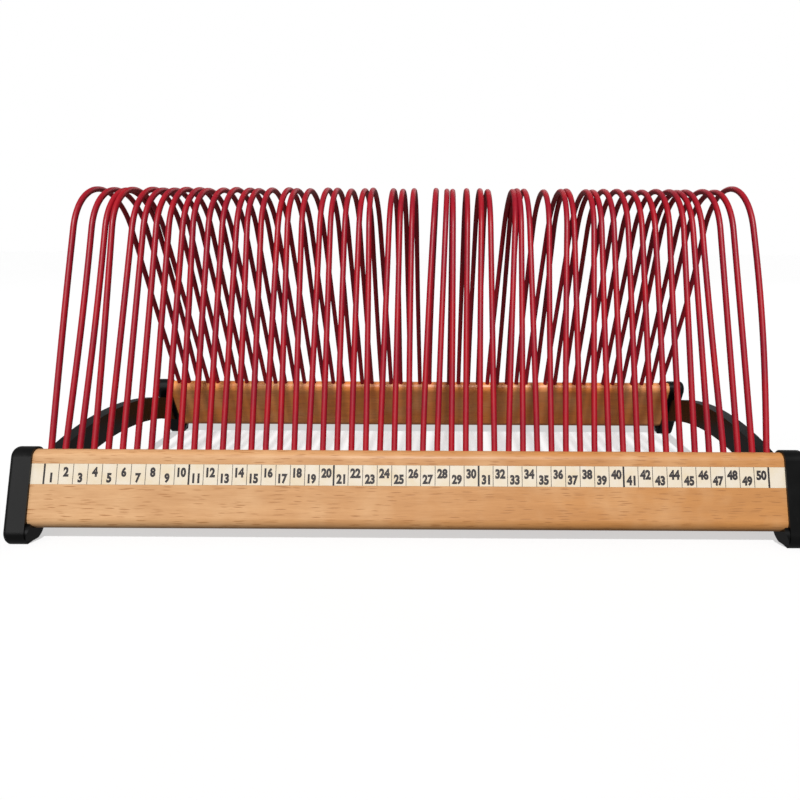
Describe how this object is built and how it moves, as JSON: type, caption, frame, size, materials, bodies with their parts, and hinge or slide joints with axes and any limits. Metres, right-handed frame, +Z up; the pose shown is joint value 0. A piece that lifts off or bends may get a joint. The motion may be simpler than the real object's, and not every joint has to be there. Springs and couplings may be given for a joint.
{
  "type": "record rack",
  "caption": "Tabletop record rack: two tilted wooden rails in black end frames, with a row of coated wire arches forming numbered slots.",
  "frame": {"origin": "centre of the footprint, on the table", "axes": "+X along the row of slots toward the highest number, +Y from the numbered front rail to the rear rail, +Z up"},
  "size_m": [0.493, 0.2604, 0.2165],
  "materials": {
    "beech": "satin lacquer",
    "black_plastic": "satin",
    "red_coating": "gloss plastic coating",
    "strip": "printed matte"
  },
  "bodies": {
    "root": {"left_end_frame": "black_plastic", "right_end_frame": "black_plastic", "front_rail": "beech", "rear_rail": "beech", "number_strip": "strip", "wire_01": "red_coating", "wire_02": "red_coating", "wire_03": "red_coating", "wire_04": "red_coating", "wire_05": "red_coating", "wire_06": "red_coating", "wire_07": "red_coating", "wire_08": "red_coating", "wire_09": "red_coating", "wire_10": "red_coating", "wire_11": "red_coating", "wire_12": "red_coating", "wire_13": "red_coating", "wire_14": "red_coating", "wire_15": "red_coating", "wire_16": "red_coating", "wire_17": "red_coating", "wire_18": "red_coating", "wire_19": "red_coating", "wire_20": "red_coating", "wire_21": "red_coating", "wire_22": "red_coating", "wire_23": "red_coating", "wire_24": "red_coating", "wire_25": "red_coating", "wire_26": "red_coating", "wire_27": "red_coating", "wire_28": "red_coating", "wire_29": "red_coating", "wire_30": "red_coating", "wire_31": "red_coating", "wire_32": "red_coating", "wire_33": "red_coating", "wire_34": "red_coating", "wire_35": "red_coating", "wire_36": "red_coating", "wire_37": "red_coating", "wire_38": "red_coating", "wire_39": "red_coating", "wire_40": "red_coating", "wire_41": "red_coating", "wire_42": "red_coating", "wire_43": "red_coating", "wire_44": "red_coating", "wire_45": "red_coating", "wire_46": "red_coating", "wire_47": "red_coating", "wire_48": "red_coating", "wire_49": "red_coating", "wire_50": "red_coating", "wire_51": "red_coating"}
  },
  "joints": []
}
